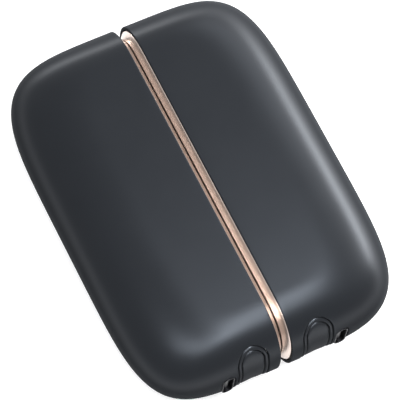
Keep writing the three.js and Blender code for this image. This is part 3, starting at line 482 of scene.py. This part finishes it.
def skin_tree():
    """Builds the tree that moves a flat grid to the shell's skin."""
    tree = bpy.data.node_groups.new("Half shell skin", "GeometryNodeTree")
    sizes = {
        "Half Width": HALF_WIDTH,
        "Half Length": HALF_LENGTH,
        "Half Height": HALF_HEIGHT,
        "Side Roll": SIDE_ROLL,
        "End Roll": END_ROLL,
        "Plan Power": PLAN_POWER,
        "Roll Power": ROLL_POWER,
        "Inset": 0.0,
        "Rim": MM,
    }
    for name, value in sizes.items():
        socket = tree.interface.new_socket(name=name, in_out="INPUT", socket_type="NodeSocketFloat")
        socket.default_value = value
    tree.interface.new_socket(name="Finish", in_out="INPUT", socket_type="NodeSocketMaterial")
    tree.interface.new_socket(name="Skin", in_out="OUTPUT", socket_type="NodeSocketGeometry")
    given = add_node(tree, "NodeGroupInput").outputs

    grid = add_node(
        tree,
        "GeometryNodeMeshGrid",
        {
            "Size X": 2 * PATH_HALF,
            "Size Y": 2.0,
            "Vertices X": PATH_STEPS + 1,
            "Vertices Y": LEVEL_STEPS + 1,
        },
    )
    position = add_node(tree, "GeometryNodeInputPosition").outputs[0]
    flat = add_node(tree, "ShaderNodeSeparateXYZ", {"Vector": position})
    path = calc(tree, "ADD", flat.outputs["X"], PATH_HALF)
    climb = calc(tree, "MULTIPLY", flat.outputs["Y"], 1 + LAND_SHARE)

    rolled = calc(tree, "MAXIMUM", calc(tree, "MINIMUM", climb, 1.0), -1.0)
    lean = calc(tree, "MULTIPLY", rolled, math.pi / 2)
    over = calc(tree, "SUBTRACT", calc(tree, "ABSOLUTE", climb), 1.0)
    inland = calc(tree, "DIVIDE", calc(tree, "MAXIMUM", over, 0.0), LAND_SHARE)

    curl = calc(tree, "DIVIDE", 2.0, given["Roll Power"])
    cosine = calc(tree, "MAXIMUM", calc(tree, "COSINE", lean), 0.0)
    drawn_in = calc(tree, "SUBTRACT", 1.0, calc(tree, "POWER", cosine, curl))
    rise = power_of(tree, calc(tree, "SINE", lean), curl)

    def outline_half(half, roll):
        """Half of the outline's width or length, less what the roll draws in."""
        less = calc(tree, "SUBTRACT", given[roll], given["Inset"])
        full = calc(tree, "SUBTRACT", given[half], given["Inset"])
        return calc(tree, "SUBTRACT", full, calc(tree, "MULTIPLY", less, drawn_in))

    across = outline_half("Half Width", "Side Roll")
    along = outline_half("Half Length", "End Roll")
    height = calc(tree, "SUBTRACT", given["Half Height"], given["Inset"])
    z = calc(tree, "MULTIPLY_ADD", height, rise, given["Half Height"])

    leg = calc(tree, "MINIMUM", path, calc(tree, "SUBTRACT", 2 * PATH_HALF, path))
    leg = calc(tree, "MAXIMUM", calc(tree, "MINIMUM", leg, 1.0), 0.0)
    start = calc(tree, "DIVIDE", given["Rim"], across)
    square_x = calc(tree, "MULTIPLY_ADD", calc(tree, "SUBTRACT", 1.0, start), leg, start)
    half_path = calc(tree, "SUBTRACT", PATH_HALF, path)
    square_y = calc(tree, "MAXIMUM", calc(tree, "MINIMUM", half_path, 1.0), -1.0)
    summed = calc(
        tree,
        "ADD",
        calc(tree, "POWER", square_x, given["Plan Power"]),
        calc(tree, "POWER", calc(tree, "ABSOLUTE", square_y), given["Plan Power"]),
    )
    norm = calc(tree, "POWER", summed, calc(tree, "DIVIDE", 1.0, given["Plan Power"]))
    ring_x = calc(tree, "DIVIDE", calc(tree, "MULTIPLY", across, square_x), norm)
    ring_y = calc(tree, "DIVIDE", calc(tree, "MULTIPLY", along, square_y), norm)

    line_y = calc(tree, "MULTIPLY", calc(tree, "MULTIPLY", along, half_path), 1 / PATH_HALF)
    x = calc(tree, "MULTIPLY_ADD", calc(tree, "SUBTRACT", given["Rim"], ring_x), inland, ring_x)
    y = calc(tree, "MULTIPLY_ADD", calc(tree, "SUBTRACT", line_y, ring_y), inland, ring_y)
    place = add_node(tree, "ShaderNodeCombineXYZ", {"X": x, "Y": y, "Z": z})
    moved = add_node(
        tree,
        "GeometryNodeSetPosition",
        {"Geometry": grid.outputs["Mesh"], "Position": place.outputs[0]},
    )
    add_node(tree, "NodeGroupOutput", {"Skin": made_real(tree, moved.outputs[0], given["Finish"])})
    return tree


def made_real(tree, geometry, material):
    """Ends a tree: its instances become real and take their material."""
    real = add_node(tree, "GeometryNodeRealizeInstances", {"Geometry": geometry})
    painted = add_node(
        tree, "GeometryNodeSetMaterial", {"Geometry": real.outputs[0], "Material": material}
    )
    return painted.outputs[0]


def evaluated(name, tree, values):
    """Runs a Geometry Nodes tree on an empty object and keeps its result as a plain mesh."""
    holder = bpy.data.objects.new(name, bpy.data.meshes.new(name))
    bpy.context.scene.collection.objects.link(holder)
    modifier = holder.modifiers.new(tree.name, "NODES")
    modifier.node_group = tree
    sockets = {item.name: item.identifier for item in tree.interface.items_tree if item.in_out == "INPUT"}
    for socket, value in values.items():
        modifier[sockets[socket]] = value
    graph = bpy.context.evaluated_depsgraph_get()
    result = bpy.data.meshes.new_from_object(holder.evaluated_get(graph))
    bpy.data.objects.remove(holder)
    result.name = name
    return result


SKIN_TREE = skin_tree()
print("skin tree has", len(SKIN_TREE.nodes), "nodes")

# %% [markdown]
# ## Loops of points
#
# The rest of a shell, its rounded lip and the step that takes the trim, runs round the mating face. So
# do the trim ring and the cover. Each is a row of closed loops joined by quads, so one function gives
# the loop at a distance from the seam and an inset, and another joins the loops.

# %% Loops round the mating face
def border_shares():
    """The skin grid's border, as its path and climb, in the order of a walk round it."""
    climbs = [(2 * step / LEVEL_STEPS - 1) * (1 + LAND_SHARE) for step in range(LEVEL_STEPS + 1)]
    paths = [2 * PATH_HALF * step / PATH_STEPS for step in range(PATH_STEPS + 1)]
    walk = [(paths[0], climb) for climb in climbs]
    walk += [(path, climbs[-1]) for path in paths[1:]]
    walk += [(paths[-1], climb) for climb in reversed(climbs[:-1])]
    walk += [(path, climbs[0]) for path in reversed(paths[1:-1])]
    return walk


def border_indices():
    """The same walk, as the grid's vertex numbers."""
    rows = LEVEL_STEPS + 1
    walk = list(range(rows))
    walk += [step * rows + LEVEL_STEPS for step in range(1, PATH_STEPS + 1)]
    walk += [PATH_STEPS * rows + level for level in reversed(range(LEVEL_STEPS))]
    walk += [step * rows for step in reversed(range(1, PATH_STEPS))]
    return walk


def face_loop(x, inset):
    """The mating face's outline at a distance from the seam."""
    points = []
    for path, climb in border_shares():
        lean = max(-1.0, min(1.0, climb)) * math.pi / 2
        along, z = edge_of(inset, lean)
        points.append(Vector((x, along * (PATH_HALF - path) / PATH_HALF, z)))
    return points


def round_corner(corner, before, after, radius, steps=7):
    """Points of a fillet at a corner of a flat section."""
    corner, before, after = Vector(corner), Vector(before), Vector(after)
    start = corner + (before - corner).normalized() * radius
    end = corner + (after - corner).normalized() * radius
    points = []
    for step in range(steps + 1):
        share = step / steps
        points.append(tuple(start.lerp(corner, share).lerp(corner.lerp(end, share), share)))
    return points


def rounded(section, radius):
    """A closed section with every corner rounded."""
    points = []
    for number, corner in enumerate(section):
        points += round_corner(corner, section[number - 1], section[(number + 1) % len(section)], radius)
    return points


def join_rows(bm, one, other):
    """A band of quads between two rows of as many points."""
    for number in range(len(one)):
        after = (number + 1) % len(one)
        bm.faces.new((one[number], one[after], other[after], other[number]))


def add_loops(bm, loops, closed=False):
    """Joins a list of loops by bands, and the last to the first where asked."""
    rows = [[bm.verts.new(point) for point in loop] for loop in loops]
    for one, other in zip(rows, rows[1:]):
        join_rows(bm, one, other)
    if closed:
        join_rows(bm, rows[-1], rows[0])
    return rows


WELD = 0.0005 * MM
SHARP = math.radians(18)


def closed_mesh(bm, name):
    """Welds what a bmesh holds and turns its faces outwards."""
    bmesh.ops.remove_doubles(bm, verts=bm.verts, dist=WELD)
    bmesh.ops.recalc_face_normals(bm, faces=bm.faces)
    mesh = bpy.data.meshes.new(name)
    bm.to_mesh(mesh)
    bm.free()
    return mesh


def dress(mesh, slot):
    """Shades a finished mesh and gives it its material."""
    mesh.materials.clear()
    mesh.materials.append(FINISHES[slot])
    mesh.polygons.foreach_set("material_index", [0] * len(mesh.polygons))
    mesh.shade_smooth()
    mesh.set_sharp_from_angle(angle=SHARP)
    return mesh


def both_halves(mesh, piece, body="half", nodes=()):
    """Makes the right piece and its mirror image, and gives each to its body."""
    for side in ("right", "left"):
        data = mesh.copy()
        if side == "left":
            data.transform(Matrix.Scale(-1, 4, (1, 0, 0)))
            data.flip_normals()
        data.name = f"{side}_{piece}"
        obj = bpy.data.objects.new(data.name, data)
        bpy.context.scene.collection.objects.link(obj)
        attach(obj, f"{side}_{body}")
        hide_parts(*[f"{side}_{node}" for node in nodes])
    print(f"{piece}: {len(mesh.polygons)} faces in each half")


# %% [markdown]
# ## The shells
#
# Each shell is one closed wall: the outer skin, a lip rounded by a few loops, a thin stretch that laps
# round the trim, a step, and the inner skin. The openings for the button and the socket are cut with
# cutters that follow the curve of the end, so that their rounded edges stay even all the way round.

# %% Shell walls
WALL = 1.6 * MM
LIP = 0.8 * MM
LIP_ROUND = 0.28 * MM
LIP_BACK_STEPS = 3
FIT = 0.3 * MM
RIM = SHELL_LOW.x
TRIM_LOW, TRIM_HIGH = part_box("right_trim_ring")


def skin_mesh(name, inset, rim):
    """The half shell's skin at an inset, as far as a rim beside the seam."""
    return evaluated(name, SKIN_TREE, {"Inset": inset, "Rim": rim, "Finish": FINISHES["shell"]})


def shell_wall():
    """The outer and the inner skin, joined by the lip and the step."""
    outer = skin_mesh("outer_skin", 0.0, RIM + LIP_ROUND)
    step_x = TRIM_HIGH.x + FIT
    inner = skin_mesh("inner_skin", WALL, step_x)
    bm = bmesh.new()
    bm.from_mesh(outer)
    bm.verts.ensure_lookup_table()
    outer_rim = [bm.verts[number] for number in border_indices()]
    first_inner = len(bm.verts)
    bm.from_mesh(inner)
    bm.verts.ensure_lookup_table()
    inner_rim = [bm.verts[first_inner + number] for number in border_indices()]
    turn = round_corner((RIM, 0), (RIM + LIP_ROUND, 0), (RIM, LIP), LIP_ROUND)[1:]
    turn += round_corner((RIM, LIP), (RIM, 0), (step_x, LIP), LIP_ROUND / 2, LIP_BACK_STEPS)
    turn += [(step_x, LIP)]
    rows = add_loops(bm, [face_loop(x, inset) for x, inset in turn])
    join_rows(bm, outer_rim, rows[0])
    join_rows(bm, rows[-1], inner_rim)
    return closed_mesh(bm, "shell_wall")


shell_mesh = shell_wall()
print("shell wall:", len(shell_mesh.polygons), "faces")

# %% [markdown]
# Inside, a real shell carries ribs for the cell and bosses for screws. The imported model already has
# them, so a copy of its shell is trimmed to what lies inside the smooth wall and is joined to it.

# %% Join what the shells carry inside
TRIMMED = 0.1 * MM
RIB_LAP = 3 * TRIMMED


def combined(mesh, tools, operation):
    """One mesh with others joined to it, cut out of it, or used to trim it."""
    holder = bpy.data.objects.new("combined", mesh)
    helpers = [bpy.data.objects.new(tool.name, tool) for tool in tools]
    for item in [holder, *helpers]:
        bpy.context.scene.collection.objects.link(item)
    for helper in helpers:
        modifier = holder.modifiers.new(operation, "BOOLEAN")
        modifier.operation = operation
        modifier.solver = "EXACT"
        modifier.object = helper
    graph = bpy.context.evaluated_depsgraph_get()
    result = bpy.data.meshes.new_from_object(holder.evaluated_get(graph))
    for item in [holder, *helpers]:
        bpy.data.objects.remove(item)
    return result


def packed_copy(node):
    """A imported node's mesh as one closed surface of its own."""
    bm = bmesh.new()
    bm.from_mesh(frame["nodes"][node].data)
    return closed_mesh(bm, node)


def box_mesh(low, high):
    """A plain box between two corners, to trim with."""
    bm = bmesh.new()
    bmesh.ops.create_cube(bm, size=1)
    size = Vector(high) - Vector(low)
    bmesh.ops.scale(bm, vec=size, verts=bm.verts)
    bmesh.ops.translate(bm, vec=Vector(low) + size / 2, verts=bm.verts)
    return closed_mesh(bm, "trimming_box")


def inner_space(inset):
    """Everything inside the skin at an inset, closed at the trim's step."""
    bm = bmesh.new()
    bm.from_mesh(skin_mesh("inner_space", inset, TRIM_HIGH.x + FIT + TRIMMED))
    bmesh.ops.remove_doubles(bm, verts=bm.verts, dist=WELD)
    edges = [edge for edge in bm.edges if edge.is_boundary]
    bmesh.ops.contextual_create(bm, geom=edges)
    return closed_mesh(bm, "inner_space")


carried = combined(packed_copy("right_outer_shell"), [inner_space(WALL - RIB_LAP)], "INTERSECT")
shell_mesh = combined(shell_mesh, [carried], "UNION")
print("shell with its ribs and bosses:", len(shell_mesh.polygons), "faces")

# %% [markdown]
# ## Openings in the near end
#
# The button window and the charging opening are upright slots with round ends. A slot's loop takes
# each point's depth from the rule of the shape, so a loop at one inset follows the curve of the end.
# The cutters are lofts through such loops, flared at the top for the rounded edge.

# %% Slots on the curved end
ARC_STEPS = 28
STRAIGHT_STEPS = 24
BEZEL_LOW, BEZEL_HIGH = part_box("right_button_bezel")
SOCKET_LOW, SOCKET_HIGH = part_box("right_usb_c_shell")
BOARD_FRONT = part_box("right_control_board")[0].y

Slot = namedtuple("Slot", "centre half_width half_height level")


def slot_of(low, high):
    """The upright slot that fills a box: its place across, its half sizes and its middle height."""
    middle, half = (low + high) / 2, (high - low) / 2
    return Slot(middle.x, half.x, half.z, middle.z)


WINDOW = slot_of(BEZEL_LOW, BEZEL_HIGH)
PORT = slot_of(SOCKET_LOW, SOCKET_HIGH)
WINDOW_EDGE = 0.3 * MM
PORT_EDGE = 0.25 * MM
EDGE_STEPS = 5
FLARE = math.radians(20)
CUTTER_REACH = 1.0 * MM


def slot_walk(straight):
    """A walk round an upright slot: how far its arc's centre is up or down, and the direction out."""
    walk = []
    for side, start in ((1, 0.0), (-1, math.pi)):
        for step in range(ARC_STEPS):
            walk.append((side * straight, start + math.pi * step / ARC_STEPS))
        for step in range(STRAIGHT_STEPS):
            walk.append((side * straight * (1 - 2 * step / STRAIGHT_STEPS), start + math.pi))
    return walk


def slot_loop(slot, growth, inset, flat_at=None):
    """A slot's outline, grown and set in from the curved end, or flat at a depth where one is given."""
    reach = slot.half_width + growth
    points = []
    for offset, angle in slot_walk(slot.half_height - slot.half_width):
        x = slot.centre + reach * math.cos(angle)
        z = slot.level + offset + reach * math.sin(angle)
        y = end_depth(x, z, inset) if flat_at is None else flat_at
        points.append(Vector((x, y, z)))
    return points


def opening_cutter(slot, gap, edge):
    """A plug that leaves a slot with an evenly rounded edge."""
    profile = []
    for step in range(EDGE_STEPS + 1):
        turn = (math.pi / 2 - FLARE) * step / EDGE_STEPS
        profile.append((gap + edge * (1 - math.cos(turn)), edge * (1 - math.sin(turn))))
    growth, inset = profile[-1]
    growth += CUTTER_REACH
    profile.append((growth, inset - CUTTER_REACH * math.tan(FLARE)))
    loops = [slot_loop(slot, gap, 0, BOARD_FRONT)]
    loops += [slot_loop(slot, *place) for place in profile]
    loops.append(slot_loop(slot, growth, 0, -HALF_LENGTH - CUTTER_REACH))
    bm = bmesh.new()
    rows = add_loops(bm, loops)
    bm.faces.new(rows[0])
    bm.faces.new(rows[-1])
    return closed_mesh(bm, "opening_cutter")


cutters = [opening_cutter(WINDOW, FIT, WINDOW_EDGE), opening_cutter(PORT, FIT, PORT_EDGE)]
shell_mesh = combined(shell_mesh, cutters, "DIFFERENCE")
both_halves(dress(shell_mesh, "shell"), "shell", nodes=["outer_shell"])

# %% [markdown]
# ## Button: bezel and cap
#
# The bezel is a thin ring whose round crest catches a line of light. It is a loft of slot loops too: a
# profile of growths and insets goes up the outer wall, over the crest and down the inner one.

# %% Button bezel
BEZEL_RIM = 0.75 * MM
BEZEL_SINK = 0.1 * MM
BEZEL_DEPTH = 1.7 * MM
CREST_STEPS = 12


def bezel_mesh():
    """The ring round the button, with its round crest."""
    half = BEZEL_RIM / 2
    profile = [(0, BEZEL_DEPTH)]
    for step in range(CREST_STEPS + 1):
        turn = math.pi * step / CREST_STEPS
        profile.append((half * (math.cos(turn) - 1), BEZEL_SINK + half * (1 - math.sin(turn))))
    profile.append((-BEZEL_RIM, BEZEL_DEPTH))
    bm = bmesh.new()
    add_loops(bm, [slot_loop(WINDOW, *place) for place in profile], closed=True)
    return closed_mesh(bm, "bezel")


both_halves(dress(bezel_mesh(), "button"), "button_rim", nodes=["button_bezel"])

# %% [markdown]
# The cap sits in the bezel, a hair lower, with a soft edge and a very slightly hollow pad for the
# fingertip. Behind the pad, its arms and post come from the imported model.

# %% Button cap
CAP_GAP = 0.3 * MM
CAP_GROWTH = -BEZEL_RIM - CAP_GAP
CAP_SINK = 0.25 * MM
CAP_WALL = 1.5 * MM
CAP_EDGE = 0.45 * MM
CAP_EDGE_STEPS = 6
PAD_HOLLOW = 0.1 * MM
PAD_STEPS = 8
CAP_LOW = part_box("right_button_cap")[0]


def cap_mesh():
    """The pad, drawn in from its soft edge to a spine where its two sides meet."""
    spine = -WINDOW.half_width
    profile = []
    for step in range(CAP_EDGE_STEPS + 1):
        turn = math.pi / 2 * step / CAP_EDGE_STEPS
        growth = CAP_GROWTH - CAP_EDGE * (1 - math.cos(turn))
        profile.append((growth, CAP_SINK + CAP_EDGE * (1 - math.sin(turn))))
    shoulder = profile[-1][0]
    for step in range(1, PAD_STEPS + 1):
        share = step / PAD_STEPS
        hollow = PAD_HOLLOW * (1 - math.cos(math.pi * share)) / 2
        profile.append((shoulder + (spine - shoulder) * share, CAP_SINK + hollow))
    back = CAP_SINK + CAP_WALL
    profile = [(spine, back), (CAP_GROWTH, back)] + profile
    bm = bmesh.new()
    add_loops(bm, [slot_loop(WINDOW, *place) for place in profile])
    return closed_mesh(bm, "cap")


behind_cap = (0, CAP_LOW.y + CAP_SINK + CAP_WALL / 2 + PAD_HOLLOW, HALF_HEIGHT / 2)
far_corner = (HALF_WIDTH, 0, HALF_HEIGHT * 3 / 2)
arms = combined(packed_copy("right_button_cap"), [box_mesh(behind_cap, far_corner)], "INTERSECT")
cap = combined(cap_mesh(), [arms], "UNION")
both_halves(dress(cap, "button"), "button_pad", body="button", nodes=["button_cap"])

# %% [markdown]
# ## Rose gold trim
#
# The trim is a plated ring pressed into the groove of each shell. Its bevel down to the seam is what
# the eye sees: a bright band when the halves are closed, and a frame round the cover when they part.
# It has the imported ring's section with every corner a little rounded.

# %% Trim ring
LEDGE_FRONT = 1.55 * MM
LEDGE_BACK = 2.45 * MM
GROOVE = 2.9 * MM
LAND = 0.9 * MM
TRIM_INSET = HALF_HEIGHT * 2 - TRIM_HIGH.z
TRIM_ROUND = 0.18 * MM


def trim_mesh():
    """The trim's section, carried round the mating face."""
    land_end = GROOVE + LAND
    section = [
        (RIM, TRIM_INSET),
        (TRIM_LOW.x, GROOVE),
        (TRIM_LOW.x, land_end),
        (LEDGE_FRONT, land_end),
        (LEDGE_FRONT, land_end + LAND),
        (LEDGE_BACK, land_end + LAND),
        (LEDGE_BACK, TRIM_INSET + LAND),
        (TRIM_HIGH.x, TRIM_INSET + LAND),
        (TRIM_HIGH.x, TRIM_INSET),
    ]
    bm = bmesh.new()
    add_loops(bm, [face_loop(x, inset) for x, inset in rounded(section, TRIM_ROUND)], closed=True)
    return closed_mesh(bm, "trim")


both_halves(dress(trim_mesh(), "trim"), "trim", nodes=["trim_ring"])

# %% [markdown]
# ## Cover of the mating face
#
# Once the halves are apart, a flat cover hides the works. It is a plate with a finely rounded edge. The
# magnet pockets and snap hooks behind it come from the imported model, as the ribs of the shell do.

# %% Mating cover
COVER_INSET = 4.1 * MM
COVER_THICKNESS = 1.0 * MM
COVER_BEVEL = 0.2 * MM
COVER_INLAND = GROOVE + 4 * MM
COVER_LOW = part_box("right_mating_cover")[0]


def cover_mesh():
    """The cover's plate. The inland place only gives its rounded edge a direction."""
    front = COVER_LOW.x
    back = front + COVER_THICKNESS
    corner = (front, COVER_INSET)
    foot = (back, COVER_INSET)
    profile = round_corner(corner, (front, COVER_INLAND), foot, COVER_BEVEL) + [foot]
    bm = bmesh.new()
    rows = add_loops(bm, [face_loop(x, inset) for x, inset in profile])
    bm.faces.new(rows[0])
    bm.faces.new(rows[-1])
    return closed_mesh(bm, "cover")


behind_plate = (COVER_LOW.x + COVER_THICKNESS - TRIMMED, -HALF_LENGTH, 0)
far_corner = (HALF_WIDTH, HALF_LENGTH, HALF_HEIGHT * 2)
hooks = combined(packed_copy("right_mating_cover"), [box_mesh(behind_plate, far_corner)], "INTERSECT")
cover = combined(cover_mesh(), [hooks], "UNION")
both_halves(dress(cover, "cover"), "cover", nodes=["mating_cover"])

# %% [markdown]
# ## Charging socket
#
# The socket's mouth is a drawn steel shell, so its edge is rounded and its ends are true arcs. It
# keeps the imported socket's size, and the insulator with its tongue stays as packed.

# %% Socket shell
SOCKET_WALL = 0.3 * MM
MOUTH_ROUND = 0.1 * MM


def socket_mesh():
    """The drawn shell: a thin wall's section, carried round the slot."""
    mouth, back = SOCKET_LOW.y, SOCKET_HIGH.y
    section = [(0, mouth), (0, back), (-SOCKET_WALL, back), (-SOCKET_WALL, mouth)]
    loops = [slot_loop(PORT, growth, 0, y) for growth, y in rounded(section, MOUTH_ROUND)]
    bm = bmesh.new()
    add_loops(bm, loops, closed=True)
    return closed_mesh(bm, "socket")


both_halves(dress(socket_mesh(), "dark_steel"), "charging_mouth", nodes=["usb_c_shell"])

# %% [markdown]
# Twelve gold contacts lie on each face of the tongue. They repeat, so a small Geometry Nodes tree sets
# them out: points along a line, one strip on each, made real and given its material.

# %% Contact strips
TONGUE_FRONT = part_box("right_usb_c_insulator")[0].y
TONGUE_HALF = 0.35 * MM
CONTACTS = 12
CONTACT_PITCH = 0.5 * MM
CONTACT_SETBACK = 0.4 * MM
CONTACT_THICKNESS = 0.05 * MM
CONTACT_LENGTH = 4.4 * MM
CONTACT_WIDTH = 0.27 * MM
CONTACT_LIFT = CONTACT_THICKNESS / 4


def contact_tree():
    """Builds the tree that sets a row of strips out and makes it real."""
    tree = bpy.data.node_groups.new("Contact strips", "GeometryNodeTree")
    for name in ("Pitch", "Thickness", "Length", "Width", "Place Across", "Place Along", "Place Up"):
        tree.interface.new_socket(name=name, in_out="INPUT", socket_type="NodeSocketFloat")
    tree.interface.new_socket(name="Count", in_out="INPUT", socket_type="NodeSocketInt")
    tree.interface.new_socket(name="Finish", in_out="INPUT", socket_type="NodeSocketMaterial")
    tree.interface.new_socket(name="Strips", in_out="OUTPUT", socket_type="NodeSocketGeometry")
    given = add_node(tree, "NodeGroupInput").outputs
    row = calc(tree, "MULTIPLY", calc(tree, "SUBTRACT", given["Count"], 1.0), given["Pitch"])
    low = calc(tree, "SUBTRACT", given["Place Up"], calc(tree, "MULTIPLY", row, 0.5))
    start = add_node(
        tree, "ShaderNodeCombineXYZ", {"X": given["Place Across"], "Y": given["Place Along"], "Z": low}
    )
    step = add_node(tree, "ShaderNodeCombineXYZ", {"Z": given["Pitch"]})
    line = add_node(
        tree,
        "GeometryNodeMeshLine",
        {"Count": given["Count"], "Start Location": start.outputs[0], "Offset": step.outputs[0]},
        mode="OFFSET",
        count_mode="TOTAL",
    )
    size = add_node(
        tree, "ShaderNodeCombineXYZ", {"X": given["Thickness"], "Y": given["Length"], "Z": given["Width"]}
    )
    strip = add_node(tree, "GeometryNodeMeshCube", {"Size": size.outputs[0]})
    copies = add_node(
        tree, "GeometryNodeInstanceOnPoints", {"Points": line.outputs[0], "Instance": strip.outputs["Mesh"]}
    )
    add_node(tree, "NodeGroupOutput", {"Strips": made_real(tree, copies.outputs[0], given["Finish"])})
    return tree


CONTACT_TREE = contact_tree()
CONTACT_GOLD = finish(
    "contact_gold", (0.70, 0.47, 0.16), (0.80, 0.56, 0.22), 0.18, 0.28, 0.1, 0.003, metal=1.0
)


def contact_strips():
    """The strips on both faces of the tongue, in one mesh."""
    bm = bmesh.new()
    for side in (-1, 1):
        values = {
            "Pitch": CONTACT_PITCH,
            "Thickness": CONTACT_THICKNESS,
            "Length": CONTACT_LENGTH,
            "Width": CONTACT_WIDTH,
            "Place Across": PORT.centre + side * (TONGUE_HALF + CONTACT_LIFT),
            "Place Along": TONGUE_FRONT + CONTACT_SETBACK + CONTACT_LENGTH / 2,
            "Place Up": PORT.level,
            "Count": CONTACTS,
            "Finish": CONTACT_GOLD,
        }
        bm.from_mesh(evaluated("contacts", CONTACT_TREE, values))
    mesh = bpy.data.meshes.new("contact_strips")
    bm.to_mesh(mesh)
    bm.free()
    mesh.materials.append(CONTACT_GOLD)
    return mesh


both_halves(contact_strips(), "contacts")
